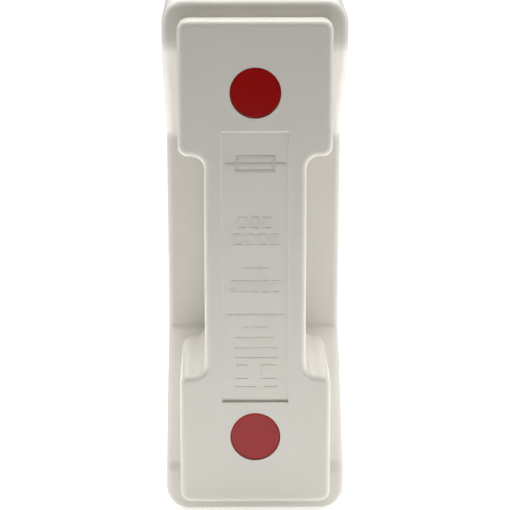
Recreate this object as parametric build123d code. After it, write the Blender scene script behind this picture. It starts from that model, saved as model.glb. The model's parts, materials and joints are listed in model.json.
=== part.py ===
from build123d import *
import math
import os

# Panel fuse holder for a bolted 94 mm cartridge fuse-link, 100 A size.
# Millimetres. X is the width, the front faces -Y and +Z is up along the length.
# The origin is the centre of the flat rear mounting face, at y = 0.

# Overall
LENGTH = 140.7
WIDTH = 48.7
CORNER_R = 6.2
FACE_Y = -88.0
LOBE_Y = -81.7
WING_Y = -47.0
PARTING_Y = -38.0
PARTING_GAP = 0.4

# Carrier front: two end blocks joined by a narrow waist
BLOCK_HALF_W = 20.25
BLOCK_END_Z = 65.9
SHOULDER_Z = 30.05
WAIST_HALF_W = 13.45
BLOCK_CORNER_R = 2.9
SHOULDER_R = 2.7
WAIST_ROOT_R = 3.3
FACE_EDGE_R = 1.6

# Carrier hood: end lobes, slopes and the wing plate between them
SLOPE_LOW_Z = 27.9
SLOPE_HIGH_Z = 57.6
LOBE_CREASE_R = 5.0
WING_CREASE_R = 2.5
RIM_R = 1.9
HOOD_WALL = 2.5
FRONT_WALL = 4.0
RIB = 2.0

# Fuse-link fixing centres, red plugs and their bores
FIXING_Z = 47.0
PLUG_BORE_R = 6.75
PLUG_R = 6.7
PLUG_RECESS = 0.3
BOSS_R = 9.5
BORE_BOTTOM_Y = -50.0
BOSS_REAR_Y = -44.0

# Label plate let into the waist
LABEL_W = 17.6
LABEL_TOP_Z = 36.7
LABEL_BOTTOM_Z = -36.3
LABEL_GAP = 0.05
LABEL_POCKET_DEPTH = 2.2
LABEL_RECESS = 0.3
LABEL_LIP = 0.2
NAIL_SLOT = 0.9
NAIL_SLOT_DEPTH = 0.9

# Base tray
BASE_WALL = 3.0
FLOOR = 4.0
LIP_CLEARANCE = 0.4
LIP_WALL = 1.8
LIP_FRONT_Y = -42.6
LIP_REAR_Y = -32.0
CABLE_ENTRY_HALF_X = 7.0
CABLE_ENTRY_FRONT_Y = -21.5
CABLE_ENTRY_CORNER_R = 1.5
MOUNT_Z = 30.0
MOUNT_HOLE_R = 2.75
MOUNT_HEAD_R = 5.25
MOUNT_BOSS_R = 6.5
MOUNT_BOSS_Y = -7.5
MOUNT_SEAT_Y = -5.0
BARRIER_Z = 38.0
BARRIER_Y = -14.0

# Fuse-link
LINK_Y = -31.2
BARREL_R = 12.6
BARREL_BORE_R = 9.5
BARREL_HALF = 31.5
CAP_R = 13.4
CAP_END = 1.2
CAP_OVERLAP = 8.0
TAG_T = 2.4
TAG_HALF_W = 9.75
TAG_END_Z = 56.0
TAG_SLOT_R = 4.35
ELEMENT_T = 0.3
ELEMENT_W = 6.0
ELEMENT_OFFSET = 3.0

# M8 fixing bolt and its stack
BOLT_R = 4.0
BOLT_HOLE_R = 4.3
BOLT_HEAD_R = 6.5
BOLT_HEAD = 8.0
BOLT_SOCKET = 6.0
BOLT_END_Y = -28.0
WASHER_R = 8.0
WASHER_T = 1.6
SPRING_WASHER_R = 6.9
SPRING_WASHER_T = 2.0
NUT_AF = 13.0
NUT_T = 6.5

# Moving contact: a copper bridge with two prongs
CONTACT_T = 2.5
PRONG_T = 2.0
PRONG_OUT = 13.0
PRONG_TIP_Y = -20.0
PRONG_Z = (41.0, 54.0)
FOOT_Z = (39.5, 56.0)

# Fixed contact: a copper channel whose legs take the prongs
JAW_IN = 13.2
JAW_T = 1.6
JAW_TIP_Y = -36.0
JAW_FLARE_Y = -38.5
JAW_FLARE = 1.6
JAW_Z = (41.0, 55.0)
WEB_Z = (41.0, 65.0)
SPRING_T = 0.8
SPRING_Z = (43.0, 53.0)
SPRING_TIP_Y = -33.0

# Terminal block with a cable tunnel
BLOCK_HALF_X = 9.0
BLOCK_Z = (46.0, 66.0)
BLOCK_FRONT_Y = -26.0
TUNNEL_HALF_X = 5.5
TUNNEL_TOP_Y = -21.0
TUNNEL_FLOOR_Y = -9.5
CLAMP_Z = 58.5
CLAMP_R = 4.0
CLAMP_HOLE_R = 4.15
CLAMP_TOP_Y = -31.6
PILOT_R = 2.5
PILOT = 0.9
PAD_T = 1.8
PAD_GAP = 0.1
PAD_HALF_X = 5.2
PAD_Z = (51.5, 65.5)
FIXING_SCREW_Z = (50.0, 62.0)
FIXING_SCREW_R = 2.0
FIXING_HEAD_R = 3.9
FIXING_HEAD_DEPTH = 0.6
FIXING_END_Y = -9.0

SLOPE_ANGLE = math.atan2(WING_Y - LOBE_Y, SLOPE_HIGH_Z - SLOPE_LOW_Z)
WEB_FRONT_Y = -FLOOR - JAW_T
LINK_FACE_Y = BOSS_REAR_Y + CONTACT_T


def front_prism(sketch, rear_y, front_y):
    """Extrude an X-Z sketch from rear_y forward to front_y."""
    return extrude(Plane.XZ.offset(-rear_y) * sketch, amount=rear_y - front_y)


def box(x, y, z):
    """Box from three (low, high) pairs."""
    size = [high - low for low, high in (x, y, z)]
    centre = [(high + low) / 2 for low, high in (x, y, z)]
    return Pos(*centre) * Box(*size)


def rod(radius, rear_y, front_y, z, x=0.0):
    """Cylinder along Y."""
    return front_prism(Pos(x, z) * Circle(radius), rear_y, front_y)


def level(low_high, end):
    """A z range given for the upper end, mirrored for the lower end."""
    low, high = low_high
    return (low, high) if end > 0 else (-high, -low)


def closed_outline(points, radii):
    """Face inside a closed outline with its own radius at each corner."""
    return make_face(FilletPolyline(*points, radius=radii, close=True))


def dumbbell(inset):
    """Front outline of the carrier, or the same outline pulled in by a wall."""
    block_x = BLOCK_HALF_W - inset
    waist_x = WAIST_HALF_W - inset
    end_z = BLOCK_END_Z - inset
    shoulder_z = SHOULDER_Z + inset
    corner = max(BLOCK_CORNER_R - inset, 0.4)
    shoulder = max(SHOULDER_R - inset, 0.4)
    root = WAIST_ROOT_R + inset
    quarter = [(block_x, end_z), (block_x, shoulder_z), (waist_x, shoulder_z)]
    radii = [corner, shoulder, root]
    lower_right = [(x, -z) for x, z in reversed(quarter)]
    lower_left = [(-x, -z) for x, z in quarter]
    upper_left = [(-x, z) for x, z in reversed(quarter)]
    points = quarter + lower_right + lower_left + upper_left
    return closed_outline(points, (radii + radii[::-1]) * 2)


def hood_profile(inset):
    """Side outline of the hood in Y-Z, or the same outline pulled in by a wall."""
    shift = inset * math.tan(SLOPE_ANGLE / 2)
    end_z = LENGTH / 2 - inset
    high = (LOBE_Y + inset, SLOPE_HIGH_Z + shift)
    low = (WING_Y + inset, SLOPE_LOW_Z + shift)
    half = [(PARTING_Y, end_z), (LOBE_Y + inset, end_z), high, low]
    radii = [0, 0, LOBE_CREASE_R - inset, WING_CREASE_R + inset]
    points = half + [(y, -z) for y, z in reversed(half)]
    return closed_outline(points, radii + radii[::-1])


def hood_block(inset):
    """Hood solid: the side outline cut to the rounded front outline."""
    side = extrude(Plane.YZ * hood_profile(inset), amount=WIDTH, both=True)
    outline = RectangleRounded(WIDTH - 2 * inset, LENGTH - 2 * inset, CORNER_R - inset)
    return side & front_prism(outline, PARTING_Y, FACE_Y)


def rim_edges(hood):
    """Outer front edges of the hood, where its front surfaces meet its sides."""
    half_w = WIDTH / 2
    half_l = LENGTH / 2
    rim = []
    for edge in hood.edges():
        mid = edge @ 0.5
        box_ = edge.bounding_box()
        on_side = abs(mid.X) > half_w - CORNER_R or abs(mid.Z) > half_l - CORNER_R
        along_y = box_.size.Y > 2 and box_.size.Z < 0.01
        if on_side and not along_y and mid.Y < PARTING_Y - 1:
            rim.append(edge)
    return rim


def carrier_moulding():
    hood = hood_block(0)
    hood = fillet(rim_edges(hood), RIM_R)
    front = front_prism(dumbbell(0), WING_Y + 1, FACE_Y)
    outer_loop = front.edges().group_by(Axis.Y)[0]
    front = fillet(outer_loop, FACE_EDGE_R)
    body = hood + front
    body -= hood_block(HOOD_WALL)
    body -= front_prism(dumbbell(HOOD_WALL), PARTING_Y, FACE_Y + FRONT_WALL)
    for end in (1, -1):
        z = end * FIXING_Z
        inner_y = FACE_Y + FRONT_WALL
        body += rod(BOSS_R, BOSS_REAR_Y, inner_y - 1, z)
        side_x = BLOCK_HALF_W - HOOD_WALL + 0.5
        body += box((-side_x, side_x), (inner_y - 1, -60), (z - RIB / 2, z + RIB / 2))
    for z in (-20, 0, 20):
        half_x = WAIST_HALF_W - HOOD_WALL + 0.5
        body += box((-half_x, half_x), (FACE_Y + 3, -56), (z - RIB / 2, z + RIB / 2))
    for end in (1, -1):
        z = end * FIXING_Z
        body -= rod(PLUG_BORE_R, BORE_BOTTOM_Y, FACE_Y - 1, z)
        body -= rod(BOLT_HOLE_R, BOSS_REAR_Y + 1, BORE_BOTTOM_Y - 1, z)
    return body - label_pocket()


def label_pocket():
    """Pocket for the label plate, with a shallow fingernail slot under the plate's lower edge."""
    half_w = LABEL_W / 2 + LABEL_GAP
    top_z = LABEL_TOP_Z + LABEL_GAP
    slot_z = LABEL_BOTTOM_Z - NAIL_SLOT
    pocket_z = (LABEL_BOTTOM_Z - LABEL_GAP, top_z)
    pocket = box((-half_w, half_w), (FACE_Y, FACE_Y + LABEL_POCKET_DEPTH), pocket_z)
    pocket += box((-half_w, half_w), (FACE_Y, FACE_Y + NAIL_SLOT_DEPTH), (slot_z, LABEL_BOTTOM_Z))
    mouth = Rectangle(2 * (half_w + LABEL_LIP), top_z - slot_z + 2 * LABEL_LIP)
    mouth = Pos(0, (top_z + slot_z) / 2) * mouth
    lip = extrude(Plane.XZ.offset(-FACE_Y) * mouth, amount=-LABEL_LIP, taper=45)
    return pocket + lip


def label_plate():
    mid_z = (LABEL_TOP_Z + LABEL_BOTTOM_Z) / 2
    outline = Pos(0, mid_z) * RectangleRounded(LABEL_W, LABEL_TOP_Z - LABEL_BOTTOM_Z, 0.4)
    return front_prism(outline, FACE_Y + LABEL_POCKET_DEPTH, FACE_Y + LABEL_RECESS)


def red_plug(z):
    """Cap with a hollow skirt and one snap ridge that grips the bore."""
    front_y = FACE_Y + PLUG_RECESS
    plug = rod(PLUG_R, front_y + 8, front_y, z)
    plug = fillet(plug.edges().group_by(Axis.Y)[0], 0.4)
    plug -= rod(PLUG_R - 1.2, front_y + 9, front_y + 2, z)
    ridge = rod(PLUG_BORE_R, front_y + 6.5, front_y + 5.5, z)
    return plug + (ridge - rod(PLUG_R - 0.5, front_y + 7, front_y + 5, z))


def fuse_bolts():
    bolts = []
    for end in (1, -1):
        z = end * FIXING_Z
        head_y = BORE_BOTTOM_Y - BOLT_HEAD
        head = rod(BOLT_HEAD_R, BORE_BOTTOM_Y, head_y, z)
        head = chamfer(head.edges().group_by(Axis.Y)[0], 0.5)
        shank = rod(BOLT_R, BOLT_END_Y, BORE_BOTTOM_Y - 1, z)
        socket = Pos(0, z) * RegularPolygon(BOLT_SOCKET / 2, 6, major_radius=False)
        bolts.append(head + shank - front_prism(socket, head_y + 4, head_y - 1))
    return Compound(children=bolts)


def plain_washers():
    rear_y = LINK_FACE_Y + TAG_T + WASHER_T
    rings = []
    for end in (1, -1):
        z = end * FIXING_Z
        ring = rod(WASHER_R, rear_y, rear_y - WASHER_T, z)
        rings.append(ring - rod(BOLT_HOLE_R, rear_y + 1, rear_y - WASHER_T - 1, z))
    return Compound(children=rings)


def spring_washers():
    front_y = LINK_FACE_Y + TAG_T + WASHER_T
    rear_y = front_y + SPRING_WASHER_T
    rings = []
    for end in (1, -1):
        z = end * FIXING_Z
        ring = rod(SPRING_WASHER_R, rear_y, front_y, z)
        ring -= rod(BOLT_HOLE_R, rear_y + 1, front_y - 1, z)
        ring -= box((0, 10), (front_y - 1, rear_y + 1), (z - 0.6, z + 0.6))
        rings.append(ring)
    return Compound(children=rings)


def nuts():
    front_y = LINK_FACE_Y + TAG_T + WASHER_T + SPRING_WASHER_T
    rear_y = front_y + NUT_T
    solids = []
    for end in (1, -1):
        z = end * FIXING_Z
        # Flats face up and down, clear of the clamp screw.
        hexagon = Pos(0, z) * RegularPolygon(NUT_AF / 2, 6, major_radius=False, rotation=30)
        nut = front_prism(hexagon, rear_y, front_y)
        round_off = rod(NUT_AF / 2 + 0.9, rear_y, front_y, z)
        round_off = chamfer(round_off.edges().group_by(Axis.Y)[-1], 1.2, 0.7)
        nut &= round_off
        solids.append(nut - rod(BOLT_R, rear_y + 1, front_y - 1, z))
    return Compound(children=solids)


def moving_contact(end):
    foot = box((-PRONG_OUT, PRONG_OUT), (BOSS_REAR_Y, LINK_FACE_Y), level(FOOT_Z, end))
    foot -= rod(BOLT_HOLE_R, LINK_FACE_Y + 1, BOSS_REAR_Y - 1, end * FIXING_Z)
    low, high = level(PRONG_Z, end)
    outer = [(PRONG_OUT, BOSS_REAR_Y), (PRONG_OUT, PRONG_TIP_Y - 2)]
    tip = [(PRONG_OUT - 0.7, PRONG_TIP_Y), (PRONG_OUT - PRONG_T + 0.4, PRONG_TIP_Y)]
    inner = [(PRONG_OUT - PRONG_T, PRONG_TIP_Y - 1), (PRONG_OUT - PRONG_T, BOSS_REAR_Y)]
    section = make_face(Polyline(*(outer + tip + inner), close=True))
    prong = Pos(0, 0, low) * extrude(section, amount=high - low)
    return foot + prong + mirror(prong, about=Plane.YZ)


def fuse_barrel():
    tube = Cylinder(BARREL_R, 2 * BARREL_HALF) - Cylinder(BARREL_BORE_R, 2 * BARREL_HALF)
    return Pos(0, LINK_Y, 0) * tube


def end_cap(end):
    cup = Cylinder(CAP_R, CAP_OVERLAP + CAP_END) - Pos(0, 0, -CAP_END) * Cylinder(
        BARREL_R, CAP_OVERLAP + CAP_END
    )
    cup = fillet(cup.edges().group_by(Axis.Z)[-1], 0.8)
    place = Pos(0, LINK_Y, BARREL_HALF - CAP_OVERLAP + (CAP_OVERLAP + CAP_END) / 2)
    cap = place * cup
    return cap if end > 0 else mirror(cap, about=Plane.XY)


def fuse_tag(end):
    root_z = BARREL_HALF + CAP_END
    flat = box(
        (-TAG_HALF_W, TAG_HALF_W),
        (LINK_FACE_Y, LINK_FACE_Y + TAG_T),
        (root_z, TAG_END_Z),
    )
    leg = box(
        (-TAG_HALF_W, TAG_HALF_W),
        (LINK_FACE_Y, LINK_Y + CAP_R - 4),
        (root_z, root_z + TAG_T),
    )
    slot = Pos(0, FIXING_Z) * Rot(0, 0, 90) * SlotCenterToCenter(2, 2 * TAG_SLOT_R)
    tag = flat + leg - front_prism(slot, LINK_FACE_Y + TAG_T + 1, LINK_FACE_Y - 1)
    return tag if end > 0 else mirror(tag, about=Plane.XY)


def element_slot(side):
    y = LINK_Y + side * ELEMENT_OFFSET
    half = (-BARREL_HALF, BARREL_HALF)
    return box((-ELEMENT_W / 2, ELEMENT_W / 2), (y - ELEMENT_T / 2, y + ELEMENT_T / 2), half)


def fuse_elements():
    """Two notched silver strips between the end caps."""
    strips = []
    for side in (1, -1):
        strip = element_slot(side)
        y = LINK_Y + side * ELEMENT_OFFSET
        for z in (-21, -7, 7, 21):
            for x in (-ELEMENT_W / 2, ELEMENT_W / 2):
                strip -= rod(2.2, y + 1, y - 1, z, x)
        strips.append(strip)
    return Compound(children=strips)


def quartz_filler():
    filler = Pos(0, LINK_Y, 0) * Cylinder(BARREL_BORE_R, 2 * BARREL_HALF)
    for side in (1, -1):
        filler -= element_slot(side)
    return filler


def fixed_contact(end):
    """Channel: a web on the floor and two legs with flared mouths."""
    out = JAW_IN + JAW_T
    web = box((-out, out), (WEB_FRONT_Y, -FLOOR), level(WEB_Z, end))
    low, high = level(JAW_Z, end)
    section = [
        (JAW_IN, -FLOOR),
        (out, -FLOOR),
        (out, JAW_TIP_Y),
        (out + JAW_FLARE, JAW_FLARE_Y),
        (JAW_IN + JAW_FLARE, JAW_FLARE_Y),
        (JAW_IN, JAW_TIP_Y),
    ]
    leg = Pos(0, 0, low) * extrude(make_face(Polyline(*section, close=True)), amount=high - low)
    contact = web + leg + mirror(leg, about=Plane.YZ)
    for z in FIXING_SCREW_Z:
        contact -= rod(FIXING_SCREW_R + 0.1, 0, -10, end * z)
    return contact


def jaw_spring(end):
    """Steel channel around the fixed contact that presses its legs inward."""
    inside = JAW_IN + JAW_T
    out = inside + SPRING_T
    z = level(SPRING_Z, end)
    spring = box((-out, out), (SPRING_TIP_Y, -FLOOR + SPRING_T), z)
    spring -= box((-inside, inside), (SPRING_TIP_Y - 1, -FLOOR), z)
    return spring - rod(FIXING_SCREW_R + 0.1, 0, -10, end * FIXING_SCREW_Z[0])


def terminal_block(end):
    low, high = level(BLOCK_Z, end)
    block = box((-BLOCK_HALF_X, BLOCK_HALF_X), (BLOCK_FRONT_Y, WEB_FRONT_Y), (low, high))
    block = fillet(block.edges().filter_by(Axis.Z), 0.8)
    block -= box((-TUNNEL_HALF_X, TUNNEL_HALF_X), (TUNNEL_TOP_Y, TUNNEL_FLOOR_Y), (low - 1, high + 1))
    block -= rod(CLAMP_HOLE_R, TUNNEL_TOP_Y + 1, BLOCK_FRONT_Y - 1, end * CLAMP_Z)
    for z in FIXING_SCREW_Z:
        block -= rod(FIXING_SCREW_R, 0, FIXING_END_Y - 0.2, end * z)
    return block


def clamp_pad(end):
    top_y = TUNNEL_TOP_Y + PAD_GAP
    pad = box((-PAD_HALF_X, PAD_HALF_X), (top_y, top_y + PAD_T), level(PAD_Z, end))
    return pad - rod(PILOT_R + 0.2, top_y + PILOT + 0.1, top_y - 1, end * CLAMP_Z)


def clamp_screw(end):
    z = end * CLAMP_Z
    shoulder_y = TUNNEL_TOP_Y
    body = rod(CLAMP_R, shoulder_y, CLAMP_TOP_Y, z)
    body = chamfer(body.edges().group_by(Axis.Y)[0], 0.6)
    body += rod(PILOT_R, shoulder_y + PILOT, shoulder_y - 1, z)
    slot = box((-5, 5), (CLAMP_TOP_Y - 1, CLAMP_TOP_Y + 2.2), (z - 0.6, z + 0.6))
    return body - slot


def countersunk(radius, head_r, head_y, z):
    """Cone of a countersunk head, from head_y forward to the shank."""
    depth = head_r - radius
    return Pos(0, head_y - depth / 2, z) * Rot(90, 0, 0) * Cone(head_r, radius, depth)


def contact_fixing_screws():
    screws = []
    for end in (1, -1):
        for z in FIXING_SCREW_Z:
            at = end * z
            screw = countersunk(FIXING_SCREW_R, FIXING_HEAD_R, -FIXING_HEAD_DEPTH, at)
            screw += rod(FIXING_SCREW_R, -FIXING_HEAD_DEPTH, FIXING_END_Y, at)
            cross = box((-2, 2), (-1.6, 0), (at - 0.5, at + 0.5))
            cross += box((-0.5, 0.5), (-1.6, 0), (at - 2, at + 2))
            screws.append(screw - cross)
    return Compound(children=screws)


def cable_entry(end):
    """Window in the end wall of the base, down to the tray floor, with rounded front corners."""
    wall = level((LENGTH / 2 - BASE_WALL - 1, LENGTH / 2 + 1), end)
    window = box((-CABLE_ENTRY_HALF_X, CABLE_ENTRY_HALF_X), (CABLE_ENTRY_FRONT_Y, -FLOOR), wall)
    front_corners = window.edges().filter_by(Axis.Z).group_by(Axis.Y)[0]
    return fillet(front_corners, CABLE_ENTRY_CORNER_R)


def base_moulding():
    outline = RectangleRounded(WIDTH, LENGTH, CORNER_R)
    tray = front_prism(outline, 0, PARTING_Y + PARTING_GAP)
    inside = RectangleRounded(WIDTH - 2 * BASE_WALL, LENGTH - 2 * BASE_WALL, CORNER_R - BASE_WALL)
    tray -= front_prism(inside, -FLOOR, PARTING_Y - 1)
    lip_w = WIDTH - 2 * (HOOD_WALL + LIP_CLEARANCE)
    lip_l = LENGTH - 2 * (HOOD_WALL + LIP_CLEARANCE)
    lip_r = CORNER_R - HOOD_WALL - LIP_CLEARANCE
    lip = RectangleRounded(lip_w, lip_l, lip_r)
    lip -= RectangleRounded(lip_w - 2 * LIP_WALL, lip_l - 2 * LIP_WALL, lip_r - LIP_WALL)
    tray += front_prism(lip, LIP_REAR_Y, LIP_FRONT_Y)
    inner_x = WIDTH / 2 - BASE_WALL + 0.5
    for end in (1, -1):
        at = end * BARRIER_Z
        tray += box((-inner_x, inner_x), (BARRIER_Y, -FLOOR + 1), (at - RIB / 2, at + RIB / 2))
        tray += rod(MOUNT_BOSS_R, -FLOOR + 1, MOUNT_BOSS_Y, end * MOUNT_Z)
    for end in (1, -1):
        tray -= rod(MOUNT_HOLE_R, 1, MOUNT_BOSS_Y - 1, end * MOUNT_Z)
        tray -= rod(MOUNT_HEAD_R, MOUNT_SEAT_Y, MOUNT_BOSS_Y - 1, end * MOUNT_Z)
        tray -= cable_entry(end)
        spring_x = JAW_IN + JAW_T + SPRING_T
        pocket = level(SPRING_Z, end)
        tray -= box((-spring_x, spring_x), (-FLOOR - 0.5, -FLOOR + SPRING_T), pocket)
        for z in FIXING_SCREW_Z:
            tray -= countersunk(FIXING_SCREW_R + 0.1, FIXING_HEAD_R, -FIXING_HEAD_DEPTH, end * z)
            tray -= rod(FIXING_SCREW_R + 0.1, 0, -FLOOR - 1, end * z)
            tray -= rod(FIXING_HEAD_R, 1, -FIXING_HEAD_DEPTH, end * z)
    return tray


def main():
    os.makedirs("parts", exist_ok=True)
    nodes = {
        "base_moulding": base_moulding(),
        "carrier_moulding": carrier_moulding(),
        "label_plate": label_plate(),
        "fuse_bolts": fuse_bolts(),
        "plain_washers": plain_washers(),
        "spring_washers": spring_washers(),
        "nuts": nuts(),
        "fuse_barrel": fuse_barrel(),
        "fuse_elements": fuse_elements(),
        "quartz_filler": quartz_filler(),
        "contact_fixing_screws": contact_fixing_screws(),
    }
    for name, end in (("upper", 1), ("lower", -1)):
        nodes[f"{name}_red_plug"] = red_plug(end * FIXING_Z)
        nodes[f"{name}_moving_contact"] = moving_contact(end)
        nodes[f"{name}_end_cap"] = end_cap(end)
        nodes[f"{name}_fuse_tag"] = fuse_tag(end)
        nodes[f"{name}_fixed_contact"] = fixed_contact(end)
        nodes[f"{name}_jaw_spring"] = jaw_spring(end)
        nodes[f"{name}_terminal_block"] = terminal_block(end)
        nodes[f"{name}_clamp_pad"] = clamp_pad(end)
        nodes[f"{name}_clamp_screw"] = clamp_screw(end)
    for name, shape in nodes.items():
        export_step(shape, f"parts/{name}.step")


main()
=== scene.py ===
import json
import math

import bmesh
import bpy
from mathutils import Matrix, Vector


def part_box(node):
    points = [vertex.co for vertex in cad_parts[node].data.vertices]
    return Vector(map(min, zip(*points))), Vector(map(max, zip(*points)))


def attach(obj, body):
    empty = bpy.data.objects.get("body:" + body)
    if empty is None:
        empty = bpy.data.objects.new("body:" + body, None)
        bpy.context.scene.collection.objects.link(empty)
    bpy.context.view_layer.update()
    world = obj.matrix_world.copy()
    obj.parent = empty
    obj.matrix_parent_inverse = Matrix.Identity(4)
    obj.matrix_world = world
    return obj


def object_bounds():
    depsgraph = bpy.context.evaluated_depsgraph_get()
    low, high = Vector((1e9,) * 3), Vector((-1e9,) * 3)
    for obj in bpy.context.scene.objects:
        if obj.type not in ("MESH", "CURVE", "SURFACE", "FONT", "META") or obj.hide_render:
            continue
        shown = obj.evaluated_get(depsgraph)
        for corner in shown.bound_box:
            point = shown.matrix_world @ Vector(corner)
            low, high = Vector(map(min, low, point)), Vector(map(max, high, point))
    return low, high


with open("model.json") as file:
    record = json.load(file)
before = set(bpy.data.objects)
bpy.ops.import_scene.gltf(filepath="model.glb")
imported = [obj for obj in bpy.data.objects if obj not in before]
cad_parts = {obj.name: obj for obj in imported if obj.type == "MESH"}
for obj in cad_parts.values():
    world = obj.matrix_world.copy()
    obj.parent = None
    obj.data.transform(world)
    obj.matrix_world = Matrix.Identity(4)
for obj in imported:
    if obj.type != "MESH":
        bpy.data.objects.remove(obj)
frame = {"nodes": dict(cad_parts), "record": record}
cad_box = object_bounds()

MM = 0.001
FACE_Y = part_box("carrier_moulding")[0].y
FLOOR_Z = cad_box[0].z


# ---------------------------------------------------------------- node helpers

def new_material(name):
    material = bpy.data.materials.new(name)
    material.use_nodes = True
    nodes = material.node_tree.nodes
    nodes.clear()
    output = nodes.new("ShaderNodeOutputMaterial")
    shader = nodes.new("ShaderNodeBsdfPrincipled")
    material.node_tree.links.new(shader.outputs["BSDF"], output.inputs["Surface"])
    return material, shader


def coordinates(material):
    return material.node_tree.nodes.new("ShaderNodeTexCoord").outputs["Object"]


def noise(material, vector, scale, detail=3.0, roughness=0.55):
    node = material.node_tree.nodes.new("ShaderNodeTexNoise")
    node.inputs["Scale"].default_value = scale
    node.inputs["Detail"].default_value = detail
    node.inputs["Roughness"].default_value = roughness
    material.node_tree.links.new(vector, node.inputs["Vector"])
    return node.outputs["Fac"]


def remap(material, value, low, high, to_low, to_high):
    node = material.node_tree.nodes.new("ShaderNodeMapRange")
    for key, number in zip(("From Min", "From Max", "To Min", "To Max"), (low, high, to_low, to_high)):
        node.inputs[key].default_value = number
    material.node_tree.links.new(value, node.inputs["Value"])
    return node.outputs["Result"]


def blend_colours(material, factor, first, second):
    node = material.node_tree.nodes.new("ShaderNodeMix")
    node.data_type = "RGBA"
    node.inputs["A"].default_value = (*first, 1)
    node.inputs["B"].default_value = (*second, 1)
    material.node_tree.links.new(factor, node.inputs["Factor"])
    return node.outputs["Result"]


def bump(material, height, distance, strength=1.0, normal=None):
    node = material.node_tree.nodes.new("ShaderNodeBump")
    node.inputs["Strength"].default_value = strength
    node.inputs["Distance"].default_value = distance
    material.node_tree.links.new(height, node.inputs["Height"])
    if normal is not None:
        material.node_tree.links.new(normal, node.inputs["Normal"])
    return node.outputs["Normal"]


def stretched(material, vector, scale):
    node = material.node_tree.nodes.new("ShaderNodeMapping")
    node.inputs["Scale"].default_value = scale
    material.node_tree.links.new(vector, node.inputs["Vector"])
    return node.outputs["Vector"]


# ------------------------------------------------------------------- materials

def moulded_plastic(name, colour, rough, tint=0.012, grain=0.010 * MM, specular=0.5):
    """Satin moulded plastic: fine pigment mottling, spark-eroded grain, uneven gloss."""
    material, shader = new_material(name)
    where = coordinates(material)
    darker = tuple(c * (1 - tint) for c in colour)
    mottle = remap(material, noise(material, where, 650.0, 2.0), 0.3, 0.7, 0.0, 1.0)
    shader.inputs["Specular IOR Level"].default_value = specular
    links = material.node_tree.links
    links.new(blend_colours(material, mottle, darker, colour), shader.inputs["Base Color"])
    gloss = remap(material, noise(material, where, 140.0, 3.0), 0.3, 0.7, rough - 0.015, rough + 0.025)
    links.new(gloss, shader.inputs["Roughness"])
    sink_marks = bump(material, noise(material, where, 30.0, 1.0), 0.01 * MM, 0.2)
    texture = bump(material, noise(material, where, 2600.0, 2.0), grain, 0.7, sink_marks)
    links.new(texture, shader.inputs["Normal"])
    return material


def machined_metal(name, colour, rough, along, grain=0.006 * MM, stain=0.06):
    """Metal with drawn or turned lines along one axis and slight staining."""
    material, shader = new_material(name)
    where = coordinates(material)
    shader.inputs["Metallic"].default_value = 1.0
    lines = noise(material, stretched(material, where, along), 900.0, 3.0)
    patches = remap(material, noise(material, where, 160.0, 4.0), 0.35, 0.7, 0.0, 1.0)
    stained = tuple(c * (1 - stain) for c in colour)
    links = material.node_tree.links
    links.new(blend_colours(material, patches, colour, stained), shader.inputs["Base Color"])
    links.new(remap(material, lines, 0.3, 0.7, rough - 0.05, rough + 0.1), shader.inputs["Roughness"])
    links.new(bump(material, lines, grain, 0.8), shader.inputs["Normal"])
    return material


def granular(name, colour, rough, scale, depth):
    """Unglazed ceramic or packed sand."""
    material, shader = new_material(name)
    where = coordinates(material)
    grains = noise(material, where, scale, 5.0, 0.7)
    darker = tuple(c * 0.88 for c in colour)
    links = material.node_tree.links
    spots = remap(material, grains, 0.3, 0.7, 0.0, 1.0)
    links.new(blend_colours(material, spots, darker, colour), shader.inputs["Base Color"])
    links.new(remap(material, grains, 0.2, 0.8, rough - 0.08, rough + 0.08), shader.inputs["Roughness"])
    links.new(bump(material, grains, depth, 0.8), shader.inputs["Normal"])
    return material


WHITE = (0.775, 0.745, 0.677)
LABEL_TINT = tuple(1.02 * c for c in WHITE)
MARK_TINT = tuple(0.86 * c for c in WHITE)
RED = (0.355, 0.004, 0.003)
ALONG_X = (0.08, 1.0, 1.0)
ALONG_Y = (1.0, 0.08, 1.0)
ALONG_Z = (1.0, 1.0, 0.08)

FINISHES = {
    "white_moulding": moulded_plastic("white_moulding", WHITE, 0.30),
    "base_white_moulding": moulded_plastic("base_white_moulding", WHITE, 0.36),
    "label_white": moulded_plastic("label_white", LABEL_TINT, 0.30),
    "red_plastic": moulded_plastic("red_plastic", RED, 0.17, 0.05, 0.002 * MM, 0.40),
    "tinned_copper": machined_metal("tinned_copper", (0.72, 0.70, 0.66), 0.30, ALONG_Z),
    "zinc_steel": machined_metal("zinc_steel", (0.62, 0.64, 0.66), 0.34, ALONG_X, stain=0.12),
    "spring_steel": machined_metal("spring_steel", (0.42, 0.43, 0.45), 0.28, ALONG_Y),
    "brass_block": machined_metal("brass_block", (0.78, 0.58, 0.28), 0.32, ALONG_Y),
    "plated_cap": machined_metal("plated_cap", (0.76, 0.75, 0.72), 0.26, ALONG_Z),
    "ceramic": granular("ceramic", (0.84, 0.81, 0.74), 0.62, 1400.0, 0.02 * MM),
    "silver_strip": machined_metal("silver_strip", (0.88, 0.87, 0.85), 0.22, ALONG_Z),
    "quartz_sand": granular("quartz_sand", (0.74, 0.68, 0.58), 0.85, 2200.0, 0.1 * MM),
}

MARK_FINISH = moulded_plastic("label_mark", MARK_TINT, 0.55)


def finish_cad_nodes():
    for row in frame["record"]["subparts"]:
        node = frame["nodes"][row["node"]]
        node.data.materials.clear()
        node.data.materials.append(FINISHES[row["material_slot"]])


def add_piece(name, mesh, body, slot, finish=None):
    """Turn a bmesh into an object that rides on a body, in the slot's finish unless one is given."""
    data = bpy.data.meshes.new(name)
    mesh.to_mesh(data)
    mesh.free()
    piece = bpy.data.objects.new(name, data)
    bpy.context.scene.collection.objects.link(piece)
    piece.data.materials.append(finish or FINISHES[slot])
    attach(piece, body)
    return piece


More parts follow.
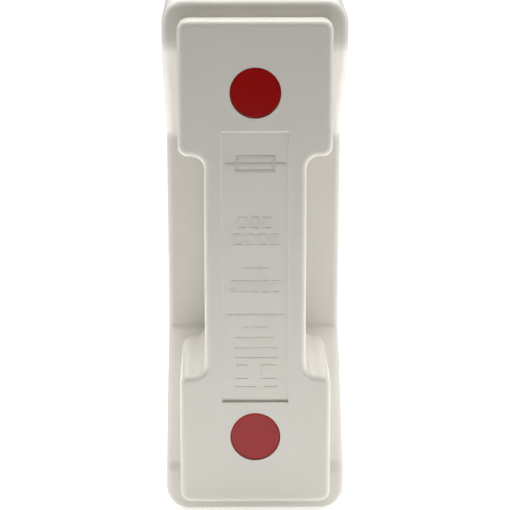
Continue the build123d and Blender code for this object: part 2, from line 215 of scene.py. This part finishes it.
# --------------------------------------------------- label marks and their frame

LABEL_FRONT_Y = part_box("label_plate")[0].y
MARK_HEIGHT = 0.16 * MM
MARK_ROOT = 0.05 * MM
MARK_EDGE = 0.09 * MM
STROKE = 0.8


def raised_bar(mesh, x, z, width, height):
    """One low raised bar on the label plate."""
    made = bmesh.ops.create_cube(mesh, size=1.0)["verts"]
    depth = MARK_HEIGHT + MARK_ROOT
    centre_y = LABEL_FRONT_Y + MARK_ROOT - depth / 2
    place = Matrix.Translation((x, centre_y, z)) @ Matrix.Diagonal((width, depth, height, 1.0))
    bmesh.ops.transform(mesh, matrix=place, verts=made)


def marks_piece(name, bars, finish=None):
    """Raised marks from (x, z, width, height) in millimetres, with rounded front edges."""
    mesh = bmesh.new()
    for bar in bars:
        raised_bar(mesh, *(MM * value for value in bar))
    front = [e for e in mesh.edges if all(v.co.y < LABEL_FRONT_Y for v in e.verts)]
    corners = [e for e in mesh.edges if abs(e.verts[0].co.y - e.verts[1].co.y) > MARK_HEIGHT]
    bmesh.ops.bevel(mesh, geom=front + corners, offset=MARK_EDGE, segments=2, affect="EDGES")
    add_piece(name, mesh, "carrier", "label_white", finish)


def frame_bars(x, z, width, height, stroke):
    """Four bars round a rectangle, the uprights between the level ones."""
    across = (width - stroke) / 2
    up = (height - stroke) / 2
    inner = height - 2 * stroke
    return [
        (x, z + up, width, stroke), (x, z - up, width, stroke),
        (x - across, z, stroke, inner), (x + across, z, stroke, inner),
    ]


def spread(low_x, high_x, count):
    """Centres and width of equal marks from low_x to high_x."""
    pitch = (high_x - low_x) / count
    return [low_x + (i + 0.5) * pitch for i in range(count)], pitch * 0.74


def outlined_row(low_x, high_x, z, height, count):
    centres, width = spread(low_x, high_x, count)
    return [bar for x in centres for bar in frame_bars(x, z, width, height, 0.5)]


def dash_row(low_x, high_x, z, height, count):
    centres, width = spread(low_x, high_x, count)
    return [(x, z, width, height) for x in centres]


def label_marks():
    """A fuse symbol, a rule, and plain boxes and dashes in the place of the maker's lettering."""
    body = frame_bars(0, 28.1, 10.4, 4.6, STROKE)
    tails = [(-6.55, 28.1, 2.7, STROKE), (6.55, 28.1, 2.7, STROKE), (0, 28.1, 8.8, STROKE)]
    marks_piece("fuse_symbol", body + tails, MARK_FINISH)
    large = [(-5.0, 4.8, 12.3, 3.4, 3), (-6.1, 6.6, 7.7, 3.4, 4), (-6.8, 6.8, -5.1, 3.6, 5)]
    small = [
        (-3.4, 3.6, -0.8, 1.9, 4), (-7.6, 7.6, -13.5, 1.7, 9), (-3.4, 3.5, -16.9, 1.6, 4),
        (-5.6, 5.4, -19.8, 1.6, 6), (-5.9, 6.0, -22.7, 1.6, 7),
        (-5.6, 0.3, -33.5, 1.4, 4), (2.2, 6.2, -33.5, 1.4, 3),
    ]
    bars = [bar for row in large for bar in outlined_row(*row)]
    bars += [bar for row in small for bar in dash_row(*row)]
    bars.append((0.2, -24.9, 12.0, 0.4))
    bars += frame_bars(-3.5, -28.8, 3.0, 4.2, 0.4) + frame_bars(3.6, -28.8, 4.4, 4.2, 0.4)
    marks_piece("label_marks", bars)


LABEL_GAP = 0.05 * MM
FILLET_FRONT = 0.20 * MM
FILLET_BACK = 0.31 * MM
FILLET_WIDTH = 0.34 * MM
FILLET_BITE = 0.01 * MM


def label_fillet():
    """Shallow moulded fillet up both sides and across the top of the label plate."""
    low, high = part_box("label_plate")
    side = high.x + LABEL_GAP
    top = high.z + LABEL_GAP
    profile = [(-FILLET_BITE, FILLET_FRONT), (-FILLET_BITE, FILLET_BACK), (FILLET_WIDTH, FILLET_BACK)]
    mesh = bmesh.new()
    rings = []
    for sign, at_top in ((-1, False), (-1, True), (1, True), (1, False)):
        ring = []
        for inset, back in profile:
            z = top - inset if at_top else low.z
            ring.append(mesh.verts.new((sign * (side - inset), FACE_Y + back, z)))
        rings.append(ring)
    for near, far in zip(rings, rings[1:]):
        for k in range(3):
            after = (k + 1) % 3
            mesh.faces.new((near[k], near[after], far[after], far[k]))
    mesh.faces.new(rings[0])
    mesh.faces.new(reversed(rings[-1]))
    bmesh.ops.recalc_face_normals(mesh, faces=mesh.faces)
    add_piece("label_fillet", mesh, "carrier", "white_moulding")


# ---------------------------------------------------------------- screw threads

THREAD_PITCH = 1.25 * MM
THREAD_RISE = 0.13 * MM
THREAD_STEPS = 48
ROWS_PER_PITCH = 12
CREST_SHARPNESS = 2.6
THREAD_END_SINK = 0.02 * MM
SCREW_SLOT_DEPTH = 2.3 * MM
SCREW_PILOT = 1.0 * MM
BOLT_TIP = 0.1 * MM


def thread_piece(name, body, radius, rear_y, front_y, z):
    """Helical thread crests standing on a plain M8 shank along Y."""
    rows = math.ceil((rear_y - front_y) / THREAD_PITCH * ROWS_PER_PITCH)
    mesh = bmesh.new()
    rings = []
    for i in range(rows + 1):
        y = front_y + (rear_y - front_y) * i / rows
        ring = []
        for k in range(THREAD_STEPS):
            turn = k / THREAD_STEPS
            phase = (y / THREAD_PITCH - turn) % 1.0
            crest = max(0.0, 1.0 - abs(phase - 0.5) * CREST_SHARPNESS)
            at_end = i in (0, rows)
            r = radius - THREAD_END_SINK if at_end else radius + THREAD_RISE * crest
            angle = math.tau * turn
            ring.append(mesh.verts.new((r * math.cos(angle), y, z + r * math.sin(angle))))
        rings.append(ring)
    for near, far in zip(rings, rings[1:]):
        for k in range(THREAD_STEPS):
            after = (k + 1) % THREAD_STEPS
            mesh.faces.new((near[k], far[k], far[after], near[after]))
    bmesh.ops.recalc_face_normals(mesh, faces=mesh.faces)
    piece = add_piece(name, mesh, body, "zinc_steel")
    for face in piece.data.polygons:
        face.use_smooth = True


def threads():
    low_plug, high_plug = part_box("upper_red_plug")
    bolt_z = (low_plug.z + high_plug.z) / 2
    bolt_rear_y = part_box("fuse_bolts")[1].y - BOLT_TIP
    nut_rear_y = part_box("nuts")[1].y
    for end, sign in (("upper", 1), ("lower", -1)):
        screw = f"{end}_clamp_screw"
        low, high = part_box(screw)
        radius = (high.x - low.x) / 2
        screw_z = (low.z + high.z) / 2
        front_y = low.y + SCREW_SLOT_DEPTH
        thread_piece(f"{end}_clamp_thread", screw, radius, high.y - SCREW_PILOT, front_y, screw_z)
        thread_piece(f"{end}_bolt_thread", "carrier", radius, bolt_rear_y, nut_rear_y, sign * bolt_z)


# ---------------------------------------------------------------------- studio

def area_light(name, place, aim, size_x, size_y, power):
    light = bpy.data.lights.new(name, "AREA")
    light.shape = "RECTANGLE"
    light.size = size_x
    light.size_y = size_y
    light.energy = power
    lamp = bpy.data.objects.new(name, light)
    bpy.context.scene.collection.objects.link(lamp)
    lamp.location = place
    lamp.rotation_euler = (Vector(aim) - Vector(place)).to_track_quat("-Z", "Y").to_euler()
    return lamp


BACKDROP_RADIUS = 5.0
GLOW_INNER = 0.14
GLOW_OUTER = 0.40
GLOW_STRENGTH = 0.44
FADE_START = 0.38
FADE_END = 0.60


def studio_floor():
    """White table, lit from below near the object, that fades into the white surround."""
    bpy.ops.mesh.primitive_plane_add(size=8.0, location=(0, 0, FLOOR_Z))
    floor = bpy.context.object
    floor.name = "studio_floor"
    material, shader = new_material("floor_white")
    nodes = material.node_tree.nodes
    links = material.node_tree.links
    where = coordinates(material)
    tone = remap(material, noise(material, where, 3.0, 2.0), 0.3, 0.7, 0.0, 1.0)
    colour = blend_colours(material, tone, (0.86, 0.86, 0.86), (0.88, 0.88, 0.88))
    links.new(colour, shader.inputs["Base Color"])
    shader.inputs["Roughness"].default_value = 0.9
    shader.inputs["Specular IOR Level"].default_value = 0.1
    shader.inputs["Emission Color"].default_value = (1, 1, 1, 1)
    reach = nodes.new("ShaderNodeVectorMath")
    reach.operation = "DISTANCE"
    reach.inputs[1].default_value = (0, FACE_Y / 2, 0)
    links.new(where, reach.inputs[0])
    glow = remap(material, reach.outputs["Value"], GLOW_INNER, GLOW_OUTER, GLOW_STRENGTH, 0.0)
    links.new(glow, shader.inputs["Emission Strength"])
    clear = nodes.new("ShaderNodeBsdfTransparent")
    fade = nodes.new("ShaderNodeMixShader")
    links.new(remap(material, reach.outputs["Value"], FADE_START, FADE_END, 0.0, 1.0), fade.inputs["Fac"])
    links.new(shader.outputs["BSDF"], fade.inputs[1])
    links.new(clear.outputs["BSDF"], fade.inputs[2])
    links.new(fade.outputs["Shader"], nodes["Material Output"].inputs["Surface"])
    floor.data.materials.append(material)


def studio_backdrop():
    """White surround that is seen but sheds no light on the object."""
    bpy.ops.mesh.primitive_uv_sphere_add(segments=48, ring_count=24, radius=BACKDROP_RADIUS)
    backdrop = bpy.context.object
    backdrop.name = "studio_backdrop"
    material, shader = new_material("backdrop_white")
    tone = remap(material, noise(material, coordinates(material), 0.4, 1.0), 0.3, 0.7, 1.0, 1.1)
    shader.inputs["Base Color"].default_value = (0, 0, 0, 1)
    shader.inputs["Emission Color"].default_value = (1, 1, 1, 1)
    material.node_tree.links.new(tone, shader.inputs["Emission Strength"])
    backdrop.data.materials.append(material)
    backdrop.visible_diffuse = False
    backdrop.visible_glossy = False
    backdrop.visible_transmission = False
    backdrop.visible_shadow = False


def studio_world():
    """No ambient light: the room around the white table is dark."""
    world = bpy.data.worlds.new("studio")
    world.use_nodes = True
    background = world.node_tree.nodes["Background"]
    background.inputs["Color"].default_value = (1.0, 1.0, 1.0, 1)
    background.inputs["Strength"].default_value = 0.0
    bpy.context.scene.world = world


CAMERA_ELEVATION = math.radians(15.0)
CAMERA_SWING = math.radians(-0.75)
CAMERA_DISTANCE = 0.56
CAMERA_LENS = 149.5
CAMERA_AIM = Vector((-0.1 * MM, FACE_Y, 3.74 * MM))


def studio_camera():
    """From in front and a little above, as in the photograph."""
    data = bpy.data.cameras.new("camera")
    data.lens = CAMERA_LENS
    data.sensor_width = 36.0
    data.clip_start = 0.01
    data.clip_end = 20.0
    camera = bpy.data.objects.new("camera", data)
    bpy.context.scene.collection.objects.link(camera)
    level = math.cos(CAMERA_ELEVATION)
    across = math.sin(CAMERA_SWING) * level
    forward = -math.cos(CAMERA_SWING) * level
    back = Vector((across, forward, math.sin(CAMERA_ELEVATION)))
    camera.location = Vector((0, FACE_Y, 0)) + back * CAMERA_DISTANCE
    camera.rotation_euler = (CAMERA_AIM - camera.location).to_track_quat("-Z", "Y").to_euler()
    bpy.context.scene.camera = camera


def studio():
    """Light comes from above and behind, and reaches the front by way of the white table."""
    studio_floor()
    studio_backdrop()
    studio_world()
    studio_camera()
    area_light("rear_high", (0, 0.55, 0.75), (0, 0.55, 0), 1.2, 1.0, 6.8)
    area_light("rear_low", (0, 0.90, 0.45), (0, 0.20, -0.07), 1.4, 0.8, 3.6)
    area_light("overhead", (0, 0.05, 0.75), (0, 0.05, 0), 0.8, 0.3, 4.7)
    area_light("front_overhead", (0, -0.35, 0.75), (0, -0.10, 0), 0.8, 0.3, 1.3)
    area_light("right_side", (0.70, -0.05, 0.25), (0, -0.05, 0), 0.7, 0.6, 3.1)
    area_light("left_side", (-0.70, -0.05, 0.25), (0, -0.05, 0), 0.7, 0.6, 2.2)
    view = bpy.context.scene.view_settings
    view.view_transform = "Standard"
    view.look = "None"
    view.exposure = 0.0


finish_cad_nodes()
label_marks()
label_fillet()
threads()
studio()
